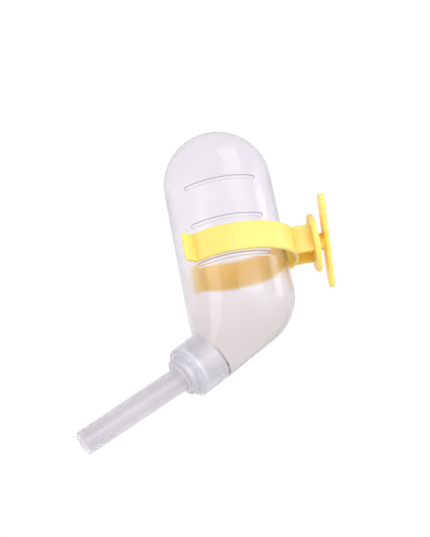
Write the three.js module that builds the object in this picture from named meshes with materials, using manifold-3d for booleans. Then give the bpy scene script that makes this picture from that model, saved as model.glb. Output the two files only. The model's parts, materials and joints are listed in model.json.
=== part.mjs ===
// Rabbit water bottle: a clear elbow bottle with a screw-cap drinking spout, held by a yellow
// C-clip whose disc and twist bar clamp it to the wires of a cage.
// Millimetres, +Z up. Origin: centre of the disc's outer face, on the twist bar's shaft.
// +X points from the bottle to the cage wires, and the spout points away from the cage.
import * as THREE from "three";
import { ConvexGeometry } from "three/addons/geometries/ConvexGeometry.js";
import { mergeVertices } from "three/addons/utils/BufferGeometryUtils.js";
import Module from "manifold-3d";

// ---- bottle ----
const BOTTLE_R = 30;
const BOTTLE_WALL = 2;
const DOME_RISE = 66.6; // from the elbow sphere's centre to the dome sphere's centre
const NECK_DROP = 30; // degrees below horizontal
const NECK_YAW = 14.5; // degrees the spout is turned from the clip's stem line
const SHOULDER_R = 14.5;
const SHOULDER_REACH = 35.7; // from the elbow sphere's centre, along the neck
const NECK_OFFSET = -16; // the neck's axis passes this far below the elbow sphere's centre
const NECK_R = 11.3;
const NECK_BORE_R = 9.3;
const NECK_LENGTH = 11.3;
const AXIS_X = -48.1; // bottle axis, from the disc's outer face
const ELBOW_Z = -22.9; // elbow sphere's centre, from the shaft's axis

// ---- moulded level marks ----
const MARK_TOPS = [59.2, 37, 14.8];
const MARK_HEIGHT = 2.7;
const MARK_PROUD = 0.35;
const MARK_SPREAD = 81; // degrees round the bottle
const MARK_FACING = -90 - NECK_YAW; // degrees, in the bottle's own frame

// ---- screw thread, one pitch per turn of the cap ----
const PITCH = 3;
const RIDGE_R = 0.65;
const NECK_RIDGE_R = 11.55;
const CAP_RIDGE_R = 12.45;
const NECK_RIDGE_START = 4.3;
const THREAD_TURNS = 1.5;

// ---- cap and spout, stations measured along the neck from the shoulder ----
const GAP = 0.3; // left between pieces that touch
const CAP_R = 14.5;
const CAP_INNER_R = 12.55;
const CAP_START = 0.35;
const CAP_END = 16.3;
const CAP_TOP_WALL = 1.7;
const CAP_EDGE_R = 1.6;
const GASKET_INNER_R = 9.5;
const GASKET_OUTER_R = 12.2;
const GASKET_THICK = 1.2;
const FLANGE_R = 12.2;
const FLANGE_THICK = 1.2;
const BOSS_R = 10.7;
const BOSS_END = 20.3;
const BOSS_EDGE_R = 1.5;
const COLLAR_R = 8.4; // low ring round the tube on the boss's face
const COLLAR_RISE = 1;
const SOCKET_R = 8.8;
const TUBE_TILT = 3.4; // degrees the tube rises from the neck's axis

// ---- tube, stations measured along the tube from the boss's face ----
const TUBE_R = 6.75;
const TIP_R = 6.6;
const TUBE_BORE_R = 4.75;
const TUBE_LENGTH = 63.7;
const TIP_EDGE_R = 1.2;
const LIP_R = 3.3;
const LIP_LENGTH = 1.5;
const SEAT_LENGTH = 2.3;
const TUBE_FLANGE_R = 8.3;
const TUBE_FLANGE_START = -5.3;
const TUBE_FLANGE_THICK = 1.2;
const SEAL_SECTION_R = 0.7;
const STOP_R = 8.5;
const STOP_THICK = 1.2;
const STOP_HOLE_R = 1.9;
const STOP_HOLE_AT = 4.4;
const STOP_HOLES = 4;
const BALL_R = 4.15;
const BALL_AT = 59.1;

// ---- clip ----
const BAND_BOTTOM = -7.6;
const BAND_TOP = 7.8;
const BAND_THICK = 2.4;
const ARM_R = 33;
const BACK_REACH = 36.5; // the band bulges this far from the bottle's axis towards the stem
const ARM_END = 131; // degrees from the stem to each arm's end
const LIP_OUT = 9; // length of the flared lip at each arm's end
const LIP_FLARE = 48; // degrees each lip turns outwards from the stem's line
const STEM_HALF_WIDTH = 10.5;
const STEM_WALL = 2.2;
const DISC_R = 16;
const DISC_THICK = 3.6;
const DISC_EDGE_R = 1;
const DISC_FLAT_R = 12; // the outer face is flat inside this radius
const DISC_FALL = 0.7; // and falls back this far to its rim

// ---- twist bar ----
const SHAFT_R = 4.75;
const SHAFT_HOLE_R = 5.1;
const WIRE_GAP = 3.1;
const BAR_LENGTH = 56.4;
const BAR_WIDTH = 12;
const BAR_THICK = 3;
const BAR_TURN = 45; // degrees from upright
const BAR_EDGE = 0.6;
const SNAP_R = 5.7;
const SNAP_LENGTH = 2.6;
const SNAP_NOSE = 0.6; // the nose is this much slimmer than the shaft
const SNAP_STEP = 0.8; // height of the snap's straight side
const SNAP_SLOT = 1.8;
const SLOT_START = 0.9; // the slot ends this far inside the disc's outer face

const ROUND = 40; // segments of a large circle
const SMALL_ROUND = 28; // segments of a small circle
const HOLE_ROUND = 16;
const BALL_ROUND = 20;
const BALL_RINGS = 14;
const SEAL_SIDES = 8;
const MARK_STEPS = 12;
const BAR_END_STEPS = 12;
const BAR_EDGE_STEPS = 2;
const BAND_STEPS = 40;
const DOME_RINGS = 10; // steps from a dome's rim to its top
const RIDGE_SIDES = 6;
const RIDGE_STEPS = 42;
const CORNER_STEPS = 3; // points on a rounded corner
const OVERRUN = 1; // how far a cutter passes the face that it cuts

const wasm = await Module();
wasm.setup();

const degrees = THREE.MathUtils.degToRad;
const point = (x, y) => new THREE.Vector2(x, y);

function solid(geometry) {
  const bare = geometry.clone();
  bare.deleteAttribute("normal");
  bare.deleteAttribute("uv");
  const merged = mergeVertices(bare, 1e-4);
  const vertProperties = new Float32Array(merged.attributes.position.array);
  const triVerts = new Uint32Array(merged.index.array);
  return new wasm.Manifold(new wasm.Mesh({ numProp: 3, vertProperties, triVerts }));
}

function geometryOf(body) {
  const mesh = body.getMesh();
  const geometry = new THREE.BufferGeometry();
  geometry.setAttribute("position", new THREE.BufferAttribute(mesh.vertProperties, 3));
  geometry.setIndex(new THREE.BufferAttribute(mesh.triVerts, 1));
  geometry.computeVertexNormals();
  return geometry;
}

function join(first, ...others) {
  return geometryOf(others.reduce((body, other) => body.add(solid(other)), solid(first)));
}

function cut(first, ...others) {
  return geometryOf(others.reduce((body, other) => body.subtract(solid(other)), solid(first)));
}

// Turns a profile of (radius, height) points round the Z axis.
function turned(profile, segments = ROUND) {
  return new THREE.LatheGeometry(profile, segments).rotateX(Math.PI / 2);
}

// A ring's profile: the same, closed on itself.
function turnedRing(profile, segments = ROUND) {
  return turned([...profile, profile[0]], segments);
}

function rod(radius, from, to, segments = ROUND) {
  return turned([point(0, from), point(radius, from), point(radius, to), point(0, to)], segments);
}

function corner(x, y, radius, from, to) {
  const points = [];
  for (let step = 0; step <= CORNER_STEPS; step += 1) {
    const angle = degrees(from + ((to - from) * step) / CORNER_STEPS);
    points.push(point(x + radius * Math.cos(angle), y + radius * Math.sin(angle)));
  }
  return points;
}

class Helix extends THREE.Curve {
  constructor(radius, start, turns) {
    super();
    this.radius = radius;
    this.start = start;
    this.turns = turns;
  }

  getPoint(t, target = new THREE.Vector3()) {
    const angle = t * this.turns * 2 * Math.PI;
    const height = this.start + t * this.turns * PITCH;
    return target.set(this.radius * Math.cos(angle), this.radius * Math.sin(angle), height);
  }
}

function threadRidge(radius, start) {
  const circle = new THREE.EllipseCurve(0, 0, RIDGE_R, RIDGE_R).getPoints(RIDGE_SIDES);
  const section = new THREE.Shape(circle.slice(0, RIDGE_SIDES));
  const extrudePath = new Helix(radius, start, THREAD_TURNS);
  return new THREE.ExtrudeGeometry(section, { steps: RIDGE_STEPS, bevelEnabled: false, extrudePath });
}

function placed(geometry, ...groups) {
  const matrix = groups.reduce((product, group) => {
    group.updateMatrix();
    return product.multiply(group.matrix);
  }, new THREE.Matrix4());
  return geometry.clone().applyMatrix4(matrix);
}

// ---- frames: the bottle's own, the neck's (+Z along the neck) and the tube's (+Z to its tip) ----
function makeBottleFrame() {
  const group = new THREE.Group();
  group.position.set(AXIS_X, 0, ELBOW_Z);
  group.rotation.z = degrees(NECK_YAW);
  return group;
}

function makeNeckFrame() {
  const group = new THREE.Group();
  const drop = degrees(NECK_DROP);
  const along = new THREE.Vector3(-Math.cos(drop), 0, -Math.sin(drop));
  const across = new THREE.Vector3(-Math.sin(drop), 0, Math.cos(drop));
  group.position.copy(along.multiplyScalar(SHOULDER_REACH).addScaledVector(across, NECK_OFFSET));
  group.rotation.y = -degrees(90 + NECK_DROP);
  return group;
}

function makeTubeFrame() {
  const group = new THREE.Group();
  group.position.z = BOSS_END;
  group.rotation.y = degrees(TUBE_TILT);
  return group;
}

// ---- bottle ----
function spherePoints(radius, height) {
  const points = [];
  for (let ring = 0; ring <= DOME_RINGS; ring += 1) {
    const latitude = (ring / DOME_RINGS) * (Math.PI / 2) * Math.sign(height || -1);
    const count = ring === DOME_RINGS ? 1 : ROUND;
    for (let step = 0; step < count; step += 1) {
      const angle = (step / ROUND) * 2 * Math.PI;
      const flat = radius * Math.cos(latitude);
      const level = height + radius * Math.sin(latitude);
      points.push(new THREE.Vector3(flat * Math.cos(angle), flat * Math.sin(angle), level));
    }
  }
  return points;
}

// The skin drawn tight over the dome, the elbow's sphere and the shoulder's flat disc.
function bottleSkin(bodyR, discR, discAt, neckFrame) {
  const disc = [];
  for (let step = 0; step < ROUND; step += 1) {
    const angle = (step / ROUND) * 2 * Math.PI;
    disc.push(new THREE.Vector3(discR * Math.cos(angle), discR * Math.sin(angle), discAt));
  }
  neckFrame.updateMatrix();
  disc.forEach((place) => place.applyMatrix4(neckFrame.matrix));
  return new ConvexGeometry([...spherePoints(bodyR, DOME_RISE), ...spherePoints(bodyR, 0), ...disc]);
}

function levelMark(top) {
  const half = degrees(MARK_SPREAD / 2);
  const facing = degrees(MARK_FACING);
  const shape = new THREE.Shape();
  shape.absarc(0, 0, BOTTLE_R + MARK_PROUD, facing - half, facing + half, false);
  shape.absarc(0, 0, BOTTLE_R - BOTTLE_WALL / 2, facing + half, facing - half, true);
  const options = { depth: MARK_HEIGHT, bevelEnabled: false, curveSegments: MARK_STEPS };
  return new THREE.ExtrudeGeometry(shape, options).translate(0, 0, top - MARK_HEIGHT);
}

function bottle(neckFrame) {
  const skin = bottleSkin(BOTTLE_R, SHOULDER_R, 0, neckFrame);
  const hollow = bottleSkin(BOTTLE_R - BOTTLE_WALL, SHOULDER_R - BOTTLE_WALL, -BOTTLE_WALL, neckFrame);
  const neck = placed(rod(NECK_R, -OVERRUN, NECK_LENGTH), neckFrame);
  const ridge = placed(threadRidge(NECK_RIDGE_R, NECK_RIDGE_START), neckFrame);
  const bore = placed(rod(NECK_BORE_R, -BOTTLE_WALL - OVERRUN, NECK_LENGTH + OVERRUN), neckFrame);
  return cut(join(skin, neck, ridge, ...MARK_TOPS.map(levelMark)), hollow, bore);
}

// ---- cap and spout ----
function capCollar() {
  const shell = turnedRing([
    point(CAP_INNER_R, CAP_START),
    point(CAP_R, CAP_START),
    ...corner(CAP_R - CAP_EDGE_R, CAP_END - CAP_EDGE_R, CAP_EDGE_R, 0, 90),
    point(BOSS_R + GAP, CAP_END),
    point(BOSS_R + GAP, CAP_END - CAP_TOP_WALL),
    point(CAP_INNER_R, CAP_END - CAP_TOP_WALL),
  ]);
  return join(shell, threadRidge(CAP_RIDGE_R, NECK_RIDGE_START - PITCH / 2));
}

function neckGasket() {
  const start = NECK_LENGTH + GAP;
  return turnedRing([
    point(GASKET_INNER_R, start),
    point(GASKET_OUTER_R, start),
    point(GASKET_OUTER_R, start + GASKET_THICK),
    point(GASKET_INNER_R, start + GASKET_THICK),
  ]);
}

function spoutBase(tubeFrame) {
  const flangeEnd = CAP_END - CAP_TOP_WALL - GAP;
  const body = turned([
    point(0, flangeEnd - FLANGE_THICK),
    point(FLANGE_R, flangeEnd - FLANGE_THICK),
    point(FLANGE_R, flangeEnd),
    point(BOSS_R, flangeEnd),
    ...corner(BOSS_R - BOSS_EDGE_R, BOSS_END - BOSS_EDGE_R, BOSS_EDGE_R, 0, 90),
    point(COLLAR_R, BOSS_END),
    point(COLLAR_R - COLLAR_RISE / 2, BOSS_END + COLLAR_RISE),
    point(0, BOSS_END + COLLAR_RISE),
  ]);
  const shoulder = TUBE_FLANGE_START + TUBE_FLANGE_THICK + 2 * SEAL_SECTION_R + 2 * GAP;
  const socket = placed(rod(SOCKET_R, -BOSS_END, shoulder), tubeFrame);
  const bore = placed(rod(TUBE_R + GAP, shoulder - OVERRUN, BOSS_END), tubeFrame);
  return cut(body, socket, bore);
}

function tubeSeal() {
  const ringR = TUBE_R + GAP + SEAL_SECTION_R;
  const at = TUBE_FLANGE_START + TUBE_FLANGE_THICK + GAP + SEAL_SECTION_R;
  return new THREE.TorusGeometry(ringR, SEAL_SECTION_R, SEAL_SIDES, SMALL_ROUND).translate(0, 0, at);
}

function spoutTube() {
  const flangeEnd = TUBE_FLANGE_START + TUBE_FLANGE_THICK;
  return turnedRing([
    point(TUBE_BORE_R, TUBE_FLANGE_START),
    point(TUBE_FLANGE_R, TUBE_FLANGE_START),
    point(TUBE_FLANGE_R, flangeEnd),
    point(TUBE_R, flangeEnd),
    ...corner(TIP_R - TIP_EDGE_R, TUBE_LENGTH - TIP_EDGE_R, TIP_EDGE_R, 0, 90),
    point(LIP_R, TUBE_LENGTH),
    point(LIP_R, TUBE_LENGTH - LIP_LENGTH),
    point(TUBE_BORE_R, TUBE_LENGTH - LIP_LENGTH - SEAT_LENGTH),
  ], SMALL_ROUND);
}

function ballStop() {
  const end = TUBE_FLANGE_START - GAP;
  const disc = rod(STOP_R, end - STOP_THICK, end);
  const holes = [];
  for (let hole = 0; hole < STOP_HOLES; hole += 1) {
    const angle = ((hole + 0.5) / STOP_HOLES) * 2 * Math.PI;
    const drill = rod(STOP_HOLE_R, end - STOP_THICK - OVERRUN, end + OVERRUN, HOLE_ROUND);
    holes.push(drill.translate(STOP_HOLE_AT * Math.cos(angle), STOP_HOLE_AT * Math.sin(angle), 0));
  }
  return cut(disc, ...holes);
}

function valveBall() {
  return new THREE.SphereGeometry(BALL_R, BALL_ROUND, BALL_RINGS).translate(0, 0, BALL_AT);
}

// ---- clip: modelled round the bottle's axis, +X towards the stem ----
function bandPoint(reach, radius, angle) {
  const bulge = Math.cos(angle) > 0 ? reach : radius;
  return point(bulge * Math.cos(angle), radius * Math.sin(angle));
}

// The +Y lip: its crease with the arm's outer face, then its tip's outer and inner corners.
function lipPoints() {
  const flare = degrees(LIP_FLARE);
  const along = point(-Math.cos(flare), Math.sin(flare));
  const outwards = point(Math.sin(flare), Math.cos(flare)).multiplyScalar(BAND_THICK);
  const root = bandPoint(BACK_REACH - BAND_THICK, ARM_R - BAND_THICK, degrees(ARM_END));
  const start = root.clone().add(outwards);
  const towards = start.dot(along);
  const run = Math.sqrt(towards ** 2 - start.lengthSq() + ARM_R ** 2) - towards;
  const crease = start.clone().addScaledVector(along, run);
  const outerTip = start.clone().addScaledVector(along, LIP_OUT);
  const innerTip = root.clone().addScaledVector(along, LIP_OUT);
  return [crease, outerTip, innerTip];
}

// The band's outline: round the outside from lip to lip, then back round the inside.
function bandShape() {
  const lip = lipPoints();
  const farLip = lip.map((place) => point(place.x, -place.y)).reverse();
  const creaseAngle = lip[0].angle();
  const outside = [];
  const inside = [];
  for (let step = 0; step <= BAND_STEPS; step += 1) {
    const share = (2 * step) / BAND_STEPS - 1;
    outside.push(bandPoint(BACK_REACH, ARM_R, share * creaseAngle));
    inside.unshift(bandPoint(BACK_REACH - BAND_THICK, ARM_R - BAND_THICK, share * degrees(ARM_END)));
  }
  return new THREE.Shape([...farLip, ...outside.slice(1, -1), ...lip, ...inside]);
}

function bandBlock(shape) {
  const geometry = new THREE.ExtrudeGeometry(shape, { depth: BAND_TOP - BAND_BOTTOM, bevelEnabled: false });
  return geometry.translate(0, 0, BAND_BOTTOM);
}

function stemWall(side) {
  const start = BACK_REACH - BAND_THICK - OVERRUN;
  const end = -AXIS_X - DISC_THICK / 2;
  const wall = new THREE.BoxGeometry(end - start, STEM_WALL, BAND_TOP - BAND_BOTTOM);
  const offset = side * (STEM_HALF_WIDTH - STEM_WALL / 2);
  return wall.translate((start + end) / 2, offset, (BAND_TOP + BAND_BOTTOM) / 2);
}

function disc() {
  const profile = [
    point(0, -DISC_THICK),
    ...corner(DISC_R - DISC_EDGE_R, -DISC_THICK + DISC_EDGE_R, DISC_EDGE_R, -90, 0),
    ...corner(DISC_R - DISC_EDGE_R, -DISC_FALL - DISC_EDGE_R, DISC_EDGE_R, 0, 75),
    point(DISC_FLAT_R, 0),
    point(0, 0),
  ];
  return turned(profile).rotateY(Math.PI / 2).translate(-AXIS_X, 0, 0);
}

function holderClip() {
  const hole = rod(SHAFT_HOLE_R, -DISC_THICK - OVERRUN, OVERRUN, SMALL_ROUND).rotateY(Math.PI / 2);
  const body = join(bandBlock(bandShape()), stemWall(-1), stemWall(1), disc());
  return cut(body, hole.translate(-AXIS_X, 0, 0));
}

// ---- twist bar: +X along the shaft, its long side along Z before it is turned ----
function bar() {
  const straight = BAR_LENGTH / 2 - BAR_WIDTH / 2;
  const shape = new THREE.Shape();
  shape.absarc(0, straight, BAR_WIDTH / 2, 0, Math.PI, false);
  shape.absarc(0, -straight, BAR_WIDTH / 2, Math.PI, 2 * Math.PI, false);
  const geometry = new THREE.ExtrudeGeometry(shape, {
    depth: BAR_THICK - 2 * BAR_EDGE,
    bevelEnabled: true,
    bevelThickness: BAR_EDGE,
    bevelSize: BAR_EDGE,
    bevelOffset: -BAR_EDGE,
    bevelSegments: BAR_EDGE_STEPS,
    curveSegments: BAR_END_STEPS,
  });
  geometry.rotateX(Math.PI / 2).rotateZ(Math.PI / 2);
  return geometry.translate(WIRE_GAP + BAR_EDGE, 0, 0);
}

function shaft() {
  const snapStart = -DISC_THICK - GAP;
  const profile = [
    point(0, snapStart - SNAP_LENGTH),
    point(SHAFT_R - SNAP_NOSE, snapStart - SNAP_LENGTH),
    point(SNAP_R, snapStart - SNAP_STEP),
    point(SNAP_R, snapStart),
    point(SHAFT_R, snapStart),
    point(SHAFT_R, WIRE_GAP + BAR_THICK / 2),
    point(0, WIRE_GAP + BAR_THICK / 2),
  ];
  return turned(profile, SMALL_ROUND).rotateY(Math.PI / 2);
}

function twistBar() {
  const slotLength = DISC_THICK + SNAP_LENGTH + OVERRUN;
  const slot = new THREE.BoxGeometry(slotLength, SNAP_SLOT, 4 * SHAFT_R);
  slot.translate(-slotLength / 2 - SLOT_START, 0, 0);
  return cut(join(bar(), shaft()), slot);
}

// ---- assembly ----
const CLEAR = { color: 0xe8e4f0, roughness: 0.08, metalness: 0 };
const YELLOW = { color: 0xfbe04a, roughness: 0.3, metalness: 0 };
const SILICONE = { color: 0xe9e7ea, roughness: 0.5, metalness: 0 };

function piece(name, geometry, finish) {
  const mesh = new THREE.Mesh(geometry, new THREE.MeshStandardMaterial(finish));
  mesh.name = name;
  return mesh;
}

const bottleFrame = makeBottleFrame();
const neckFrame = makeNeckFrame();
const tubeFrame = makeTubeFrame();

tubeFrame.add(
  piece("spout_tube", spoutTube(), CLEAR),
  piece("tube_seal", tubeSeal(), SILICONE),
  piece("ball_stop", ballStop(), CLEAR),
  piece("valve_ball", valveBall(), CLEAR),
);
neckFrame.add(
  piece("cap_collar", capCollar(), CLEAR),
  piece("neck_gasket", neckGasket(), SILICONE),
  piece("spout_base", spoutBase(makeTubeFrame()), CLEAR),
  tubeFrame,
);
bottleFrame.add(piece("bottle", bottle(makeNeckFrame()), CLEAR), neckFrame);

const clip = piece("holder_clip", holderClip(), YELLOW);
clip.position.x = AXIS_X;

const twist = piece("twist_bar", twistBar(), YELLOW);
twist.rotation.x = degrees(BAR_TURN);

const model = new THREE.Group();
model.add(clip, twist, bottleFrame);

export default model;
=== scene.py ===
"""Rabbit water bottle: the looks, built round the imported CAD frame. Metres, +Z up."""

import json
import math

import bmesh
import bpy
from mathutils import Matrix, Vector


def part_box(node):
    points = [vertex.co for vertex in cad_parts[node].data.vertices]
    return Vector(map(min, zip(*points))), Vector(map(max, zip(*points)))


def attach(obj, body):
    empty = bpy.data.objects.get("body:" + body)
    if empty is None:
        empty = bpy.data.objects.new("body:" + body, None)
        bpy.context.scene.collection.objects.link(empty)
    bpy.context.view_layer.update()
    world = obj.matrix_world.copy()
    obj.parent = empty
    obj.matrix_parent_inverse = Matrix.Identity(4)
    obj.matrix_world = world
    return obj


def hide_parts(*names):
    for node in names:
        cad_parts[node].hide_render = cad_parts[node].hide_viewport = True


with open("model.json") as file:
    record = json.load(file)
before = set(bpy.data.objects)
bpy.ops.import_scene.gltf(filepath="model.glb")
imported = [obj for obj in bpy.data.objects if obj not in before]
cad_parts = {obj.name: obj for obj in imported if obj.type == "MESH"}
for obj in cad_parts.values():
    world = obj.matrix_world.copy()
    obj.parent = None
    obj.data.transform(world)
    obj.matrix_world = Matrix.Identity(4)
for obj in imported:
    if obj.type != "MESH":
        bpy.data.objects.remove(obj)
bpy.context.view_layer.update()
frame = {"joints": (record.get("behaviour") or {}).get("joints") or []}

MM = 0.001

# ---- bottle, in millimetres ----
BOTTLE_R = 30.0
WALL = 2.0
DOME_RISE = 66.6
SHOULDER_R = 14.5
SHOULDER_ROUND = 1.4
NECK_R = 11.3
NECK_BORE_R = 9.3
NECK_LENGTH = 11.3
MARK_TOPS = (59.2, 37.0, 14.8)
MARK_HEIGHT = 2.7
MARK_LENGTH = 42.0
MARK_LINE = 0.3
MARK_PROUD = 0.32
MARK_FAINT = 0.3
MARK_ROWS = 28
MARK_MARGIN = 0.6
MARK_CLEAR = 1.0
MARK_END_REACH = 2.2
END_COLUMN = 0.2
MARK_COLUMN = 0.7
PLAIN_COLUMNS = 72
PLAIN_ROWS = 12
DOME_ROWS = 20
ELBOW_ROWS = 20
INNER_SHOULDER_ROUND = 2.5
NECK_FILLET = 0.4
NECK_ROWS = 46
RIM_ROUND = 0.5
RIM_FROM = 9.0
BORE_STEPS = (4.0, 0.6 - WALL)

# ---- thread ----
PITCH = 3.0
THREAD_DEPTH = 0.85
THREAD_HALF_WIDTH = 0.75
THREAD_TURNS = 1.5
THREAD_FADE = 0.08
THREAD_FULLNESS = 0.8
NECK_THREAD_START = 4.3

# ---- cap and spout, measured along the neck from the shoulder ----
CAP_R = 14.5
CAP_INNER_R = 12.55
CAP_START = 0.35
CAP_END = 16.3
CAP_TOP = 1.7
CAP_ROWS = 52
GASKET_R = (9.5, 12.2)
GASKET_SPAN = (11.6, 12.8)
FLANGE_R = 12.2
FLANGE_SPAN = (13.1, 14.3)
BOSS_R = 10.7
BOSS_END = 20.3
COLLAR_R = 8.4
COLLAR_RISE = 1.0
SOCKET_R = 8.8
SOCKET_END = -2.1
SOCKET_START = -6.5
BORE_R = 7.05

# ---- tube, measured along the tube from the boss's face ----
TUBE_R = 6.75
TIP_R = 6.6
TUBE_BORE_R = 4.75
TUBE_LENGTH = 63.7
LIP_R = 3.3
LIP_LENGTH = 1.5
SEAT_LENGTH = 2.3
TUBE_FLANGE_R = 8.3
TUBE_FLANGE = (-5.3, -4.1)
SEAL_RING_R = 7.75
SEAL_R = 0.7
SEAL_AT = -3.1
STOP_R = 8.5
STOP_SPAN = (-6.8, -5.6)
STOP_HOLE_R = 1.9
STOP_HOLE_AT = 4.4
BALL_R = 4.15
BALL_ROWS = 40
BALL_ROUND = 48
BALL_LINE = 0.04

# ---- clip and twist bar ----
BAND = (-7.6, 7.8)
BAND_THICK = 2.4
BAND_EDGE = 0.5
ARM_R = 33.0
BACK_REACH = 36.5
ARM_END = 131.0
LIP_OUT = 9.0
LIP_FLARE = 48.0
STEM_HALF_WIDTH = 10.5
STEM_WALL = 2.2
DISC_R = 16.0
DISC_THICK = 3.6
DISC_FLAT_R = 12.0
DISC_FALL = 0.7
SHAFT_R = 4.75
SHAFT_HOLE_R = 5.1
WIRE_GAP = 3.1
BAR_LENGTH = 56.4
BAR_WIDTH = 12.0
BAR_THICK = 3.0
SNAP_R = 5.7
SNAP_SPAN = (-6.5, -3.9)
SNAP_SLOT = 1.8
SNAP_SLOT_TOP = 0.9
SNAP_DEPTH = 7.0
BAR_LEAN = 45.0
BAR_EDGE = 0.9
BAR_END_STEPS = 24

# ---- finish: pairs are the two ends of a faint unevenness ----
DEPTH_TINT = (0.62, 0.56, 0.74)
WARM_TINT = (0.88, 0.84, 0.83)
WARM_FROM = -12.0
WARM_FULL = -40.0
# painted shadow colour along the level marks' top edges and ends
MARK_EDGE_SHADOW = (0.12, 0.1, 0.18)
BOTTLE_TINTS = ((0.945, 0.92, 0.95), (0.965, 0.95, 0.97))
CAP_TINTS = ((0.72, 0.715, 0.745), (0.81, 0.805, 0.83))
TUBE_TINTS = ((0.68, 0.66, 0.685), (0.8, 0.78, 0.805))
BALL_TINTS = ((0.93, 0.93, 0.95), (0.98, 0.98, 1.0))
SILICONE_TINTS = ((0.78, 0.76, 0.80), (0.86, 0.84, 0.88))
YELLOW_TINTS = ((0.96, 0.86, 0.27), (0.98, 0.89, 0.31))
# painted shade colour for the clip's hollows, creases and gaps
YELLOW_HOLLOW_SHADE = (1.0, 0.73, 0.08)
YELLOW_GLOW = (1.0, 0.56, 0.02)
YELLOW_GLOW_SHARE = 0.32
FLOOR_TINTS = ((0.86, 0.86, 0.87), (0.9, 0.9, 0.9))

# ---- stage: metres and degrees, with the lens in millimetres ----
CAMERA_AZIMUTH = -2.19
CAMERA_ELEVATION = -19.36
CAMERA_ROLL = -11.09
CAMERA_TARGET = (-0.05845, -0.00268, -0.00528)
CAMERA_DISTANCE = 0.7826
CAMERA_LENS = 96.32
FLOOR_SIZE = 3.0
FLOOR_Z = -0.32
LAMP_AIM = (-0.05, 0, 0)
BRIGHT_SIDE = (0, 0.94, 0.34)
NEAR_LIGHT = 0.62
FAR_LIGHT = 1.03

ROUND = 96
SMALL_ROUND = 64
ARC_STEPS = 5
ARM_STEPS = 60

JOINTS = {joint["name"]: joint for joint in frame["joints"]}


# ---- frames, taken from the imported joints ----
def frame_at(origin, along, up=Vector((0, 0, 1))):
    """A frame in millimetres whose Z is along and whose X leans towards up."""
    z_axis = Vector(along).normalized()
    x_axis = (up - up.dot(z_axis) * z_axis).normalized()
    y_axis = z_axis.cross(x_axis)
    turn = Matrix((x_axis, y_axis, z_axis)).transposed().to_4x4()
    return Matrix.Translation(origin) @ turn @ Matrix.Scale(MM, 4)


BOTTLE_AXIS = Vector(JOINTS["bottle_turn"]["pos_m"])
NECK_ORIGIN = Vector(JOINTS["cap_turn"]["pos_m"])
NECK_ALONG = Vector(JOINTS["cap_turn"]["axis"])
TUBE_ALONG = -Vector(JOINTS["ball_slide"]["axis"])
NECK_YAW = math.atan2(-NECK_ALONG.y, -NECK_ALONG.x)
ELBOW_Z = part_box("bottle")[1].z - (DOME_RISE + BOTTLE_R) * MM
ELBOW = Vector((BOTTLE_AXIS.x, BOTTLE_AXIS.y, ELBOW_Z))
BOTTLE_FRAME = Matrix.Translation(ELBOW) @ Matrix.Rotation(NECK_YAW, 4, "Z") @ Matrix.Scale(MM, 4)
NECK_FRAME = frame_at(NECK_ORIGIN, NECK_ALONG)
TUBE_FRAME = frame_at(NECK_ORIGIN + NECK_ALONG * BOSS_END * MM, TUBE_ALONG)
CLIP_FRAME = Matrix.Translation(BOTTLE_AXIS) @ Matrix.Scale(MM, 4)
SHAFT_FRAME = frame_at(Vector(JOINTS["twist_turn"]["pos_m"]), Vector((1, 0, 0)))


# ---- mesh helpers ----
def ring(radius, height, count=ROUND, into=None):
    """A circle of points round Z, in the frame given."""
    points = []
    for step in range(count):
        angle = 2 * math.pi * step / count
        points.append(Vector((radius * math.cos(angle), radius * math.sin(angle), height)))
    return [into @ p for p in points] if into else points


def arc(x, y, radius, start, end, steps=ARC_STEPS):
    """Points of an arc, angles in degrees."""
    points = []
    for step in range(steps + 1):
        angle = math.radians(start + (end - start) * step / steps)
        points.append((x + radius * math.cos(angle), y + radius * math.sin(angle)))
    return points


def softened(points, radius, closed=True, steps=ARC_STEPS):
    """The outline with every corner rounded. radius is a number, or a list with one for each point."""
    count = len(points)
    radii = radius if isinstance(radius, (list, tuple)) else [radius] * count
    result = []
    for index, here in enumerate(points):
        ends = not closed and index in (0, count - 1)
        if ends or radii[index] <= 0:
            result.append(Vector(here))
            continue
        corner = Vector(here)
        before = Vector(points[index - 1]) - corner
        after = Vector(points[(index + 1) % count]) - corner
        reach = min(radii[index], before.length * 0.49, after.length * 0.49)
        start = corner + before.normalized() * reach
        end = corner + after.normalized() * reach
        for step in range(steps + 1):
            t = step / steps
            result.append((1 - t) ** 2 * start + 2 * t * (1 - t) * corner + t * t * end)
    return result


def skin_rows(bm, rows, loop=False):
    """Quads between rings of equally many points. loop joins the last row to the first."""
    made = [[bm.verts.new(p) for p in row] for row in rows]
    pairs = list(zip(made, made[1:]))
    if loop:
        pairs.append((made[-1], made[0]))
    for low, high in pairs:
        for step in range(len(low)):
            following = (step + 1) % len(low)
            bm.faces.new((low[step], low[following], high[following], high[step]))
    return made


def cap_row(bm, row, centre):
    tip = bm.verts.new(centre)
    for step in range(len(row)):
        bm.faces.new((row[step], row[(step + 1) % len(row)], tip))


def finish_mesh(bm, name, matrix=None, sharp=40.0):
    """Closes the seams, turns the faces out, and makes the object with smooth shading and sharp creases."""
    bmesh.ops.remove_doubles(bm, verts=bm.verts, dist=1e-5 if matrix else 1e-8)
    if matrix:
        bmesh.ops.holes_fill(bm, edges=[edge for edge in bm.edges if edge.is_boundary])
    bmesh.ops.recalc_face_normals(bm, faces=bm.faces)
    mesh = bpy.data.meshes.new(name)
    bm.to_mesh(mesh)
    bm.free()
    if matrix:
        mesh.transform(matrix)
    mesh.shade_smooth()
    mesh.set_sharp_from_angle(angle=math.radians(sharp))
    obj = bpy.data.objects.new(name, mesh)
    bpy.context.scene.collection.objects.link(obj)
    return obj


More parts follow.
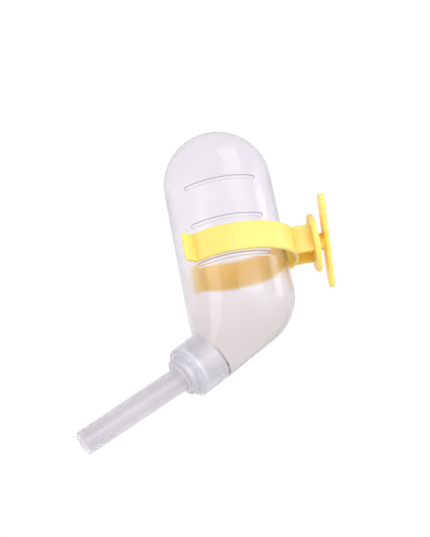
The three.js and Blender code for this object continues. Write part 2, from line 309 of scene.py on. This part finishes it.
def turned(name, profile, matrix, count=SMALL_ROUND, sharp=40.0):
    """A closed profile of (radius, height) points turned round Z, or one that runs from axis to axis."""
    bm = bmesh.new()
    solid = profile[0][0] == 0
    skin_rows(bm, [ring(p[0], p[1], count) for p in profile], loop=not solid)
    return finish_mesh(bm, name, matrix, sharp)


def applied(obj):
    """Gives obj the mesh that its modifiers make."""
    graph = bpy.context.evaluated_depsgraph_get()
    mesh = bpy.data.meshes.new_from_object(obj.evaluated_get(graph))
    obj.modifiers.clear()
    obj.data = mesh
    return obj


def combined(obj, other, operation):
    modifier = obj.modifiers.new(operation.lower(), "BOOLEAN")
    modifier.operation = operation
    modifier.object = other
    modifier.solver = "EXACT"
    applied(obj)
    bpy.data.objects.remove(other)
    return obj


def resmoothed(obj, sharp):
    obj.data.shade_smooth()
    obj.data.set_sharp_from_angle(angle=math.radians(sharp))
    return obj


def slab(name, outline, low, high, rounding, matrix, holes=()):
    """An outline in X and Y drawn out from low to high along Z, with rounded edges. Holes run clockwise."""
    curve = bpy.data.curves.new(name, "CURVE")
    curve.dimensions = "2D"
    curve.fill_mode = "BOTH"
    curve.extrude = (high - low) / 2 - rounding
    curve.bevel_depth = rounding
    curve.bevel_resolution = 3
    curve.offset = -rounding
    for points in (outline, *holes):
        spline = curve.splines.new("POLY")
        spline.points.add(len(points) - 1)
        for place, point in zip(spline.points, points):
            place.co = (point[0], point[1], 0, 1)
        spline.use_cyclic_u = True
    holder = bpy.data.objects.new(name + "_outline", curve)
    bpy.context.scene.collection.objects.link(holder)
    bpy.context.view_layer.update()
    graph = bpy.context.evaluated_depsgraph_get()
    mesh = bpy.data.meshes.new_from_object(holder.evaluated_get(graph))
    bpy.data.objects.remove(holder)
    bm = bmesh.new()
    bm.from_mesh(mesh)
    bmesh.ops.translate(bm, verts=bm.verts, vec=(0, 0, (low + high) / 2))
    return finish_mesh(bm, name, matrix, 30.0)


# ---- bottle ----
def thread_rise(height, angle, start):
    """How far the thread stands out at this height and angle, from 0 to 1."""
    best = 0.0
    for turn in range(-1, 3):
        along = angle / (2 * math.pi) + turn
        if not 0 <= along <= THREAD_TURNS:
            continue
        fade = min(1.0, along / THREAD_FADE, (THREAD_TURNS - along) / THREAD_FADE)
        away = abs(height - start - along * PITCH) / THREAD_HALF_WIDTH
        if away < 1:
            best = max(best, fade * math.cos(away * math.pi / 2) ** THREAD_FULLNESS)
    return best


def threaded_row(radius, height, start, depth):
    points = []
    for step in range(ROUND):
        angle = 2 * math.pi * step / ROUND
        reach = radius + depth * thread_rise(height, angle, start)
        points.append(Vector((reach * math.cos(angle), reach * math.sin(angle), height)))
    return points


def mark_columns():
    """Angles round the bottle, close together where the level marks need it."""
    half = MARK_LENGTH / 2
    facing = -math.pi / 2 - NECK_YAW
    places = []
    place = -half - MARK_CLEAR
    while place < half + MARK_CLEAR:
        places.append(place)
        near_end = abs(abs(place) - half) < MARK_END_REACH
        place += END_COLUMN if near_end else MARK_COLUMN
    span = 2 * math.pi * BOTTLE_R
    rest = span - (places[-1] - places[0])
    for step in range(1, PLAIN_COLUMNS):
        places.append(half + MARK_CLEAR + rest * step / PLAIN_COLUMNS)
    return [facing + p / BOTTLE_R for p in places], places


def mark_rise(place, height):
    """The moulded relief of the level marks: a low raised slot with a proud outline."""
    span = 2 * math.pi * BOTTLE_R
    place = (place + span / 2) % span - span / 2
    radius = MARK_HEIGHT / 2
    rise = 0.0
    for top in MARK_TOPS:
        along = max(abs(place) - (MARK_LENGTH / 2 - radius), 0.0)
        edge = math.hypot(along, height - (top - radius)) - radius
        outline = math.exp(-((edge + MARK_LINE) / MARK_LINE) ** 2)
        rise = max(rise, MARK_PROUD * outline)
    return rise


def mark_edge_shadow(place, height):
    """How deep the painted shadow along a level mark's edge is here, from 0 to 1: deep along its top and
    its ends.
    """
    span = 2 * math.pi * BOTTLE_R
    place = (place + span / 2) % span - span / 2
    radius = MARK_HEIGHT / 2
    shadow_depth = 0.0
    for top in MARK_TOPS:
        along = max(abs(place) - (MARK_LENGTH / 2 - radius), 0.0)
        rise = height - (top - radius)
        edge = math.hypot(along, rise) - radius
        line = math.exp(-((edge + MARK_LINE) / MARK_LINE) ** 2)
        depth = 1.0 if rise > 0 else max(MARK_FAINT, 1.0 + rise / radius) if along > 0 else MARK_FAINT
        shadow_depth = max(shadow_depth, line * depth)
    return shadow_depth


def paint_mark_shadows(obj):
    """Stores each point's depth of painted shadow along a level mark's edge, for the material to read."""
    layer = obj.data.attributes.new("painted_mark_shadow", "FLOAT", "POINT")
    to_bottle = BOTTLE_FRAME.inverted()
    for vertex, value in zip(obj.data.vertices, layer.data):
        spot = to_bottle @ vertex.co
        if math.hypot(spot.x, spot.y) < BOTTLE_R - 0.1 or spot.z < 0:
            continue
        turn = math.atan2(spot.y, spot.x) + math.pi / 2 + NECK_YAW
        value.value = mark_edge_shadow(turn * BOTTLE_R, spot.z)
    return obj


def body_heights():
    """Heights for the rows of the straight body, close together at the level marks."""
    heights = {0.0, DOME_RISE}
    for top in MARK_TOPS:
        for step in range(MARK_ROWS + 1):
            heights.add(top + MARK_MARGIN - (MARK_HEIGHT + 2 * MARK_MARGIN) * step / MARK_ROWS)
    for step in range(1, PLAIN_ROWS):
        height = DOME_RISE * step / PLAIN_ROWS
        if all(not top - MARK_HEIGHT - MARK_CLEAR < height < top + MARK_CLEAR for top in MARK_TOPS):
            heights.add(height)
    return sorted(heights, reverse=True)


def body_rows(radius, angles, places=None):
    """The dome and the straight body, from the top down."""
    rows = []
    for step in range(1, DOME_ROWS):
        latitude = math.pi / 2 * (1 - step / DOME_ROWS)
        flat = radius * math.cos(latitude)
        level = DOME_RISE + radius * math.sin(latitude)
        rows.append([Vector((flat * math.cos(a), flat * math.sin(a), level)) for a in angles])
    for height in body_heights() if places else (DOME_RISE, DOME_RISE / 2, 0.0):
        row = []
        for index, a in enumerate(angles):
            reach = radius + (mark_rise(places[index], height) if places else 0.0)
            row.append(Vector((reach * math.cos(a), reach * math.sin(a), height)))
        rows.append(row)
    return rows


def elbow_hull(radius, angles, shoulder_rows):
    """The skin drawn tight over the lower half sphere and the shoulder, open at both ends."""
    bm = bmesh.new()
    top = [Vector((radius * math.cos(a), radius * math.sin(a), 0.0)) for a in angles]
    points = list(top)
    for step in range(1, ELBOW_ROWS):
        latitude = math.pi / 2 * step / ELBOW_ROWS
        flat = radius * math.cos(latitude)
        level = -radius * math.sin(latitude)
        points += [Vector((flat * math.cos(a), flat * math.sin(a), level)) for a in angles]
    points.append(Vector((0, 0, -radius)))
    for row in shoulder_rows:
        points += row
    for point in points:
        bm.verts.new(point)
    bmesh.ops.convex_hull(bm, input=bm.verts)
    bmesh.ops.delete(bm, geom=list({v for v in bm.verts if not v.link_faces}), context="VERTS")
    bm.normal_update()
    neck_out = shoulder_rows[-1]
    centre = sum(neck_out, Vector()) / len(neck_out)
    outward = (neck_out[0] - centre).cross(neck_out[len(neck_out) // 4] - centre).normalized()
    lids = []
    for face in bm.faces:
        on_top = all(abs(v.co.z) < 1e-4 for v in face.verts)
        on_shoulder = all(abs((v.co - centre).dot(outward)) < 1e-3 for v in face.verts)
        if on_top or on_shoulder:
            lids.append(face)
    bmesh.ops.delete(bm, geom=lids, context="FACES")
    mesh = bpy.data.meshes.new("elbow")
    bm.to_mesh(mesh)
    bm.free()
    return mesh


def add_body(bm, radius, angles, places, shoulder_rows):
    rows = body_rows(radius, angles, places)
    made = skin_rows(bm, rows)
    cap_row(bm, made[0], Vector((0, 0, DOME_RISE + radius)))
    mesh = elbow_hull(radius, angles, shoulder_rows)
    bm.from_mesh(mesh)
    bpy.data.meshes.remove(mesh)


def make_bottle():
    to_bottle = BOTTLE_FRAME.inverted() @ NECK_FRAME
    bm = bmesh.new()
    angles, places = mark_columns()
    shoulder = arc(SHOULDER_R - SHOULDER_ROUND, -SHOULDER_ROUND, SHOULDER_ROUND, 0, 90)
    outer_rows = [ring(r, s, into=to_bottle) for r, s in shoulder]
    add_body(bm, BOTTLE_R, angles, places, outer_rows)

    plain = [2 * math.pi * step / ROUND for step in range(ROUND)]
    inner_round = INNER_SHOULDER_ROUND
    inside = arc(SHOULDER_R - WALL - inner_round, -WALL - inner_round, inner_round, 0, 90)
    inner_rows = [ring(r, s, into=to_bottle) for r, s in inside]
    add_body(bm, BOTTLE_R - WALL, plain, None, inner_rows)

    rows = [outer_rows[-1]]
    fillet = arc(NECK_R + NECK_FILLET, NECK_FILLET, NECK_FILLET, 270, 180, 4)
    rows += [ring(r, s, into=to_bottle) for r, s in fillet]
    for step in range(1, NECK_ROWS):
        height = NECK_FILLET + (NECK_LENGTH - NECK_FILLET - RIM_ROUND) * step / NECK_ROWS
        row = threaded_row(NECK_R, height, NECK_THREAD_START, THREAD_DEPTH)
        rows.append([to_bottle @ p for p in row])
    rim = softened([
        (NECK_R, RIM_FROM),
        (NECK_R, NECK_LENGTH),
        (NECK_BORE_R, NECK_LENGTH),
        (NECK_BORE_R, RIM_FROM),
    ], RIM_ROUND, closed=False)[1:-1]
    rows += [ring(p[0], p[1], into=to_bottle) for p in rim]
    rows += [ring(NECK_BORE_R, height, into=to_bottle) for height in BORE_STEPS]
    rows.append(inner_rows[-1])
    skin_rows(bm, rows)
    return paint_mark_shadows(finish_mesh(bm, "bottle_shell", BOTTLE_FRAME, 50.0))


# ---- cap and spout ----
def make_cap():
    bm = bmesh.new()
    outer = softened([
        (CAP_INNER_R, CAP_START),
        (CAP_R, CAP_START),
        (CAP_R, CAP_END),
        (BOSS_R + 0.3, CAP_END),
        (BOSS_R + 0.3, CAP_END - CAP_TOP),
        (CAP_INNER_R, CAP_END - CAP_TOP),
    ], [0.3, 0.4, 2.2, 0.4, 0.3, 0.6])
    rows = [ring(p[0], p[1]) for p in outer]
    low = CAP_START + 0.4
    high = CAP_END - CAP_TOP - 0.8
    for step in range(1, CAP_ROWS):
        height = high + (low - high) * step / CAP_ROWS
        rows.append(threaded_row(CAP_INNER_R, height, NECK_THREAD_START - PITCH / 2, -THREAD_DEPTH))
    skin_rows(bm, rows, loop=True)
    return finish_mesh(bm, "cap_shell", NECK_FRAME, 50.0)


def make_spout_base():
    bm = bmesh.new()
    to_neck = NECK_FRAME.inverted() @ TUBE_FRAME
    low, high = FLANGE_SPAN
    outer = softened([
        (SOCKET_R + 0.4, low),
        (FLANGE_R, low),
        (FLANGE_R, high),
        (BOSS_R, high),
        (BOSS_R, BOSS_END),
        (COLLAR_R, BOSS_END),
        (COLLAR_R, BOSS_END + COLLAR_RISE),
        (BORE_R + 0.15, BOSS_END + COLLAR_RISE),
    ], [0, 0.3, 0.3, 0.5, 2.1, 0.5, 0.6, 0], closed=False)
    rows = [ring(p[0], p[1], SMALL_ROUND) for p in outer]
    bore = ((BORE_R, 0.7), (BORE_R, SOCKET_END), (SOCKET_R, SOCKET_END), (SOCKET_R, SOCKET_START))
    for radius, height in bore:
        rows.append(ring(radius, height, SMALL_ROUND, into=to_neck))
    skin_rows(bm, rows, loop=True)
    return finish_mesh(bm, "spout_boss", NECK_FRAME, 45.0)


def make_gasket():
    inner, outer = GASKET_R
    low, high = GASKET_SPAN
    profile = softened([(inner, low), (outer, low), (outer, high), (inner, high)], 0.3)
    return turned("gasket_ring", profile, NECK_FRAME, ROUND)


def make_tube():
    low, high = TUBE_FLANGE
    profile = softened([
        (TUBE_BORE_R, low),
        (TUBE_FLANGE_R, low),
        (TUBE_FLANGE_R, high),
        (TUBE_R, high),
        (TUBE_R, 0.0),
        (TIP_R, TUBE_LENGTH),
        (LIP_R, TUBE_LENGTH),
        (LIP_R, TUBE_LENGTH - LIP_LENGTH),
        (TUBE_BORE_R, TUBE_LENGTH - LIP_LENGTH - SEAT_LENGTH),
    ], [0.3, 0.3, 0.3, 0.3, 0, 1.5, 0.5, 0.2, 0.8])
    return turned("tube_shell", profile, TUBE_FRAME, ROUND, 35.0)


def make_seal():
    return turned("tube_seal_ring", arc(SEAL_RING_R, SEAL_AT, SEAL_R, 0, 345, 23), TUBE_FRAME)


def make_ball_stop():
    """A disc with four round holes for the water."""
    low, high = STOP_SPAN
    holes = []
    for turn in (45, 135, 225, 315):
        x = STOP_HOLE_AT * math.cos(math.radians(turn))
        y = STOP_HOLE_AT * math.sin(math.radians(turn))
        holes.append(arc(x, y, STOP_HOLE_R, 360, 0, 32)[:-1])
    return slab("ball_stop_plate", ring(STOP_R, 0, SMALL_ROUND), low, high, 0.2, TUBE_FRAME, holes)


def make_ball():
    """A moulded ball with the faint raised parting line that its two-part mould leaves."""
    centre = (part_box("valve_ball")[0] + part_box("valve_ball")[1]) / 2
    bm = bmesh.new()
    rows = []
    for step in range(1, BALL_ROWS):
        latitude = -math.pi / 2 + math.pi * step / BALL_ROWS
        proud = BALL_LINE if step == BALL_ROWS // 2 else 0.0
        radius = BALL_R - BALL_LINE + proud
        rows.append(ring(radius * math.cos(latitude), radius * math.sin(latitude), BALL_ROUND))
    made = skin_rows(bm, rows)
    cap_row(bm, made[0], Vector((0, 0, BALL_LINE - BALL_R)))
    cap_row(bm, made[-1], Vector((0, 0, BALL_R - BALL_LINE)))
    return finish_mesh(bm, "ball_bead", frame_at(centre, TUBE_ALONG), 60.0)


# ---- clip ----
def band_point(inset, degrees):
    """A point on the band's outline, round the bottle's axis, degrees from the stem."""
    angle = math.radians(degrees)
    reach = (BACK_REACH if math.cos(angle) > 0 else ARM_R) - inset
    return Vector((reach * math.cos(angle), (ARM_R - inset) * math.sin(angle)))


def lip_points():
    """The +Y lip: its crease with the arm's outer face, the tip's outer and inner corners, and its root."""
    flare = math.radians(LIP_FLARE)
    along = Vector((-math.cos(flare), math.sin(flare)))
    outwards = Vector((math.sin(flare), math.cos(flare))) * BAND_THICK
    root = band_point(BAND_THICK, ARM_END)
    start = root + outwards
    towards = start.dot(along)
    run = math.sqrt(towards ** 2 - start.length_squared + ARM_R ** 2) - towards
    return start + along * run, start + along * LIP_OUT, root + along * LIP_OUT, root


def half_outline():
    """Half of the clip's outline on the +Y side, from the band's back round to the lip and back inside."""
    stem_x = -BOTTLE_AXIS.x / MM - DISC_THICK / 2
    inner_y = STEM_HALF_WIDTH - STEM_WALL
    inner_angle = math.degrees(math.asin(inner_y / ARM_R))
    outer_angle = math.degrees(math.asin(STEM_HALF_WIDTH / ARM_R))
    crease, outer_tip, inner_tip, root = lip_points()
    crease_angle = math.degrees(math.atan2(crease.y, crease.x))
    points = [band_point(0, 0), band_point(0, inner_angle / 2)]
    points += [band_point(0, inner_angle), Vector((stem_x, inner_y))]
    points += [Vector((stem_x, STEM_HALF_WIDTH)), band_point(0, outer_angle)]
    for step in range(1, ARM_STEPS):
        points.append(band_point(0, outer_angle + (crease_angle - outer_angle) * step / ARM_STEPS))
    lip = [points[-1], crease, outer_tip, inner_tip, root]
    points += softened(lip, [0, 0.5, 0.9, 0.9, 0], closed=False)[1:]
    for step in range(1, ARM_STEPS):
        points.append(band_point(BAND_THICK, ARM_END * (1 - step / ARM_STEPS)))
    return points


def make_clip():
    points = half_outline()
    mirrored = [Vector((p.x, -p.y)) for p in reversed(points[1:])]
    outline = points + [band_point(BAND_THICK, 0)] + mirrored
    body = slab("clip_moulding", outline, BAND[0], BAND[1], BAND_EDGE, CLIP_FRAME)
    disc_profile = softened([
        (SHAFT_HOLE_R, -DISC_THICK),
        (DISC_R, -DISC_THICK),
        (DISC_R, -DISC_FALL),
        (DISC_FLAT_R, 0),
        (SHAFT_HOLE_R, 0),
    ], [0.3, 1.1, 0.9, 2.0, 0.3])
    disc = turned("disc", disc_profile, SHAFT_FRAME, ROUND, 35.0)
    combined(body, disc, "UNION")
    return resmoothed(body, 28.0)


def make_twist_bar():
    half = BAR_LENGTH / 2 - BAR_WIDTH / 2
    outline = arc(half, 0, BAR_WIDTH / 2, -90, 90, BAR_END_STEPS)
    outline += arc(-half, 0, BAR_WIDTH / 2, 90, 270, BAR_END_STEPS)
    lean = Matrix.Rotation(math.radians(BAR_LEAN), 4, "Z")
    bar = slab("twist_handle", outline, WIRE_GAP, WIRE_GAP + BAR_THICK, BAR_EDGE, SHAFT_FRAME @ lean)
    low, high = SNAP_SPAN
    profile = softened([
        (0, low),
        (SHAFT_R - 0.6, low),
        (SNAP_R, high - 0.8),
        (SNAP_R, high),
        (SHAFT_R, high),
        (SHAFT_R, WIRE_GAP + BAR_THICK / 2),
        (0, WIRE_GAP + BAR_THICK / 2),
    ], [0, 0.3, 0.3, 0.15, 0.2, 0, 0], closed=False)
    shaft = turned("shaft", profile, SHAFT_FRAME, SMALL_ROUND, 35.0)
    combined(bar, shaft, "UNION")
    bm = bmesh.new()
    cube = bmesh.ops.create_cube(bm, size=1.0)["verts"]
    size = Matrix.Diagonal((4 * SHAFT_R, SNAP_SLOT, SNAP_DEPTH, 1))
    shift = Matrix.Translation((0, 0, -SNAP_DEPTH / 2 - SNAP_SLOT_TOP))
    bmesh.ops.transform(bm, matrix=lean @ shift @ size, verts=cube)
    slot = finish_mesh(bm, "slot", SHAFT_FRAME)
    combined(bar, slot, "DIFFERENCE")
    return resmoothed(bar, 30.0)


# ---- materials ----
def new_material(name):
    material = bpy.data.materials.new(name)
    material.use_nodes = True
    tree = material.node_tree
    return material, tree, tree.nodes["Principled BSDF"]


def noise(tree, scale, detail=3.0):
    coords = tree.nodes.new("ShaderNodeTexCoord")
    texture = tree.nodes.new("ShaderNodeTexNoise")
    texture.inputs["Scale"].default_value = scale
    texture.inputs["Detail"].default_value = detail
    tree.links.new(coords.outputs["Object"], texture.inputs["Vector"])
    return texture.outputs["Fac"]


def spread(tree, value, low, high):
    ranger = tree.nodes.new("ShaderNodeMapRange")
    ranger.inputs["To Min"].default_value = low
    ranger.inputs["To Max"].default_value = high
    tree.links.new(value, ranger.inputs["Value"])
    return ranger.outputs["Result"]


def tint(tree, value, first, second):
    ramp = tree.nodes.new("ShaderNodeMix")
    ramp.data_type = "RGBA"
    ramp.inputs["A"].default_value = (*first, 1)
    ramp.inputs["B"].default_value = (*second, 1)
    tree.links.new(value, ramp.inputs["Factor"])
    return ramp.outputs["Result"]


def bump(tree, shader, value, strength, distance):
    node = tree.nodes.new("ShaderNodeBump")
    node.inputs["Strength"].default_value = strength
    node.inputs["Distance"].default_value = distance
    tree.links.new(value, node.inputs["Height"])
    tree.links.new(node.outputs["Normal"], shader.inputs["Normal"])


def lamp_light_passes(tree, surface):
    """Lets lamplight straight through, so that what stands behind the clear walls is lit."""
    output = tree.nodes["Material Output"]
    rays = tree.nodes.new("ShaderNodeLightPath")
    open_way = tree.nodes.new("ShaderNodeBsdfTransparent")
    mix = tree.nodes.new("ShaderNodeMixShader")
    tree.links.new(rays.outputs["Is Shadow Ray"], mix.inputs["Fac"])
    tree.links.new(surface, mix.inputs[1])
    tree.links.new(open_way.outputs["BSDF"], mix.inputs[2])
    tree.links.new(mix.outputs["Shader"], output.inputs["Surface"])


def milked(tree, shader, shade, amount):
    """Mixes a soft glow of the light from behind into clear plastic, as in a frosted moulding."""
    glow = tree.nodes.new("ShaderNodeBsdfTranslucent")
    glow.inputs["Color"].default_value = (*shade, 1)
    mix = tree.nodes.new("ShaderNodeMixShader")
    mix.inputs["Fac"].default_value = amount
    tree.links.new(shader.outputs["BSDF"], mix.inputs[1])
    tree.links.new(glow.outputs["BSDF"], mix.inputs[2])
    return mix.outputs["Shader"]


def clear_plastic(name, tints, clearness, roughness, haze, density, milk):
    """Clear moulded plastic: it bends light, with a faint uneven tint that deepens with thickness."""
    material, tree, shader = new_material(name)
    shader.inputs["Transmission Weight"].default_value = clearness
    shader.inputs["IOR"].default_value = 1.46
    colour = tint(tree, noise(tree, 60.0), *tints)
    tree.links.new(colour, shader.inputs["Base Color"])
    tree.links.new(spread(tree, noise(tree, 240.0), roughness, haze), shader.inputs["Roughness"])
    bump(tree, shader, noise(tree, 30.0, 1.0), 0.02, 0.0003)
    depth = tree.nodes.new("ShaderNodeVolumeAbsorption")
    depth.inputs["Color"].default_value = (*DEPTH_TINT, 1)
    depth.inputs["Density"].default_value = density
    tree.links.new(depth.outputs["Volume"], tree.nodes["Material Output"].inputs["Volume"])
    lamp_light_passes(tree, milked(tree, shader, tints[1], milk))
    return material


def marked_plastic(roughness, haze, density):
    """The bottle's clear plastic, a little warmer below the clip, with painted shadow darkening it along
    its level marks' edges.
    """
    material = clear_plastic("bottle_clear", BOTTLE_TINTS, 1.0, roughness, haze, density, 0.0)
    tree = material.node_tree
    shader = tree.nodes["Principled BSDF"]
    colour = shader.inputs["Base Color"].links[0].from_socket
    coords = tree.nodes.new("ShaderNodeTexCoord")
    split = tree.nodes.new("ShaderNodeSeparateXYZ")
    tree.links.new(coords.outputs["Object"], split.inputs["Vector"])
    below = tree.nodes.new("ShaderNodeMapRange")
    below.interpolation_type = "SMOOTHSTEP"
    below.inputs["From Min"].default_value = WARM_FROM * MM
    below.inputs["From Max"].default_value = WARM_FULL * MM
    tree.links.new(split.outputs["Z"], below.inputs["Value"])
    # painted shadow along the level marks' edges, read from the mesh
    mark_shadow_reader = tree.nodes.new("ShaderNodeAttribute")
    mark_shadow_reader.attribute_name = "painted_mark_shadow"
    for amount, shade in ((below.outputs["Result"], WARM_TINT), (mark_shadow_reader.outputs["Fac"], MARK_EDGE_SHADOW)):
        mix = tree.nodes.new("ShaderNodeMix")
        mix.data_type = "RGBA"
        mix.inputs["B"].default_value = (*shade, 1)
        tree.links.new(amount, mix.inputs["Factor"])
        tree.links.new(colour, mix.inputs["A"])
        colour = mix.outputs["Result"]
    tree.links.new(colour, shader.inputs["Base Color"])
    return material


def yellow_plastic():
    """Moulded yellow plastic: light soaks into it and comes out of thin walls as an orange glow, and
    painted orange shade darkens its hollows and creases where other parts lie close.
    """
    material, tree, shader = new_material("yellow_plastic")
    cloud = noise(tree, 45.0, 4.0)
    colour = tint(tree, cloud, *YELLOW_TINTS)
    # painted shade: ambient occlusion turns the colour orange in hollows, creases and where parts lie
    # close, standing in for shade and bounced light
    occlusion_shade = tree.nodes.new("ShaderNodeAmbientOcclusion")
    occlusion_shade.samples = 8
    occlusion_shade.inputs["Distance"].default_value = 0.005
    shaded_colour = tree.nodes.new("ShaderNodeMix")
    shaded_colour.data_type = "RGBA"
    shaded_colour.inputs["A"].default_value = (*YELLOW_HOLLOW_SHADE, 1)
    tree.links.new(occlusion_shade.outputs["AO"], shaded_colour.inputs["Factor"])
    tree.links.new(colour, shaded_colour.inputs["B"])
    tree.links.new(shaded_colour.outputs["Result"], shader.inputs["Base Color"])
    shader.inputs["Subsurface Weight"].default_value = 1.0
    shader.inputs["Subsurface Radius"].default_value = (1.0, 0.6, 0.14)
    shader.inputs["Subsurface Scale"].default_value = 0.006
    shader.inputs["IOR"].default_value = 1.49
    tree.links.new(spread(tree, noise(tree, 300.0), 0.26, 0.36), shader.inputs["Roughness"])
    bump(tree, shader, noise(tree, 900.0, 2.0), 0.06, 0.0002)
    glow = tree.nodes.new("ShaderNodeBsdfTranslucent")
    glow.inputs["Color"].default_value = (*YELLOW_GLOW, 1)
    mix = tree.nodes.new("ShaderNodeMixShader")
    mix.inputs["Fac"].default_value = YELLOW_GLOW_SHARE
    tree.links.new(shader.outputs["BSDF"], mix.inputs[1])
    tree.links.new(glow.outputs["BSDF"], mix.inputs[2])
    tree.links.new(mix.outputs["Shader"], tree.nodes["Material Output"].inputs["Surface"])
    return material


def silicone():
    material, tree, shader = new_material("silicone")
    cloud = noise(tree, 90.0)
    tree.links.new(tint(tree, cloud, *SILICONE_TINTS), shader.inputs["Base Color"])
    shader.inputs["Subsurface Weight"].default_value = 0.4
    shader.inputs["Subsurface Scale"].default_value = 0.002
    tree.links.new(spread(tree, noise(tree, 400.0), 0.42, 0.6), shader.inputs["Roughness"])
    bump(tree, shader, noise(tree, 1200.0, 2.0), 0.1, 0.0002)
    return material


def stage_material(name, tints, roughness):
    material, tree, shader = new_material(name)
    tree.links.new(tint(tree, noise(tree, 3.0), *tints), shader.inputs["Base Color"])
    shader.inputs["Roughness"].default_value = roughness
    return material


# ---- stage ----
def make_camera():
    """Seen from a little below, with the picture rolled, as a small product shot."""
    azimuth = math.radians(CAMERA_AZIMUTH)
    elevation = math.radians(CAMERA_ELEVATION)
    roll = math.radians(CAMERA_ROLL)
    back = Vector((
        math.sin(azimuth) * math.cos(elevation),
        -math.cos(azimuth) * math.cos(elevation),
        math.sin(elevation),
    ))
    right = (-back).cross(Vector((0, 0, 1))).normalized()
    up = right.cross(-back)
    right_rolled = math.cos(roll) * right + math.sin(roll) * up
    up_rolled = -math.sin(roll) * right + math.cos(roll) * up
    turn = Matrix((right_rolled, up_rolled, back)).transposed().to_4x4()
    data = bpy.data.cameras.new("camera")
    data.sensor_width = 36.0
    data.lens = CAMERA_LENS
    camera = bpy.data.objects.new("camera", data)
    camera.matrix_world = Matrix.Translation(Vector(CAMERA_TARGET) + back * CAMERA_DISTANCE) @ turn
    bpy.context.scene.collection.objects.link(camera)
    bpy.context.scene.camera = camera


def make_floor():
    bm = bmesh.new()
    bmesh.ops.create_grid(bm, x_segments=1, y_segments=1, size=FLOOR_SIZE)
    floor = finish_mesh(bm, "floor")
    floor.location = (0, 0, FLOOR_Z)
    floor.data.materials.append(stage_material("floor_paper", FLOOR_TINTS, 0.8))


def make_lamp(name, place, size, power):
    """A soft lamp that isn't seen through the clear plastic, from whichever side that is looked at."""
    data = bpy.data.lights.new(name, "AREA")
    data.shape = "RECTANGLE"
    data.size, data.size_y = size
    data.energy = power
    lamp = bpy.data.objects.new(name, data)
    lamp.location = place
    lamp.rotation_euler = (Vector(LAMP_AIM) - Vector(place)).to_track_quat("-Z", "Y").to_euler()
    lamp.visible_transmission = False
    bpy.context.scene.collection.objects.link(lamp)


def make_world():
    """A white room, brighter behind the object than on the camera's side."""
    world = bpy.data.worlds.new("studio")
    bpy.context.scene.world = world
    world.use_nodes = True
    background = world.node_tree.nodes["Background"]
    background.inputs["Color"].default_value = (1, 1, 1, 1)
    tree = world.node_tree
    coords = tree.nodes.new("ShaderNodeTexCoord")
    facing = tree.nodes.new("ShaderNodeVectorMath")
    facing.operation = "DOT_PRODUCT"
    facing.inputs[1].default_value = BRIGHT_SIDE
    tree.links.new(coords.outputs["Generated"], facing.inputs[0])
    ranger = tree.nodes.new("ShaderNodeMapRange")
    ranger.inputs["From Min"].default_value = -0.5
    ranger.inputs["From Max"].default_value = 0.8
    ranger.inputs["To Min"].default_value = NEAR_LIGHT
    ranger.inputs["To Max"].default_value = FAR_LIGHT
    tree.links.new(facing.outputs["Value"], ranger.inputs["Value"])
    tree.links.new(ranger.outputs["Result"], background.inputs["Strength"])


# ---- assembly ----
def dress(piece, body, node, material):
    piece.data.materials.clear()
    piece.data.materials.append(material)
    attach(piece, body)
    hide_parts(node)


make_camera()
make_floor()
make_world()
make_lamp("key", (0.9, -1.2, 1.3), (1.2, 1.2), 9.0)
make_lamp("front", (0.7, -1.6, 0.0), (1.6, 1.2), 18.0)
make_lamp("side", (1.5, -0.05, 0.1), (0.6, 1.1), 6.0)
make_lamp("fill", (-1.3, -1.1, 0.15), (0.8, 1.0), 6.0)

bottle_clear = marked_plastic(0.1, 0.16, 36.0)
cap_clear = clear_plastic("cap_clear", CAP_TINTS, 0.8, 0.2, 0.3, 9.0, 0.12)
tube_clear = clear_plastic("tube_clear", TUBE_TINTS, 0.86, 0.12, 0.18, 6.0, 0.3)
ball_clear = clear_plastic("ball_clear", BALL_TINTS, 1.0, 0.02, 0.06, 4.0, 0.0)
yellow = yellow_plastic()
rubber = silicone()

dress(make_bottle(), "bottle", "bottle", bottle_clear)
dress(make_cap(), "cap", "cap_collar", cap_clear)
dress(make_spout_base(), "spout", "spout_base", cap_clear)
dress(make_tube(), "spout", "spout_tube", tube_clear)
dress(make_gasket(), "spout", "neck_gasket", rubber)
dress(make_seal(), "spout", "tube_seal", rubber)
dress(make_ball_stop(), "spout", "ball_stop", tube_clear)
dress(make_ball(), "ball", "valve_ball", ball_clear)
dress(make_clip(), "holder", "holder_clip", yellow)
dress(make_twist_bar(), "twist", "twist_bar", yellow)

bpy.context.scene.view_settings.view_transform = "Standard"
bpy.context.scene.cycles.max_bounces = 32
bpy.context.scene.cycles.transmission_bounces = 32
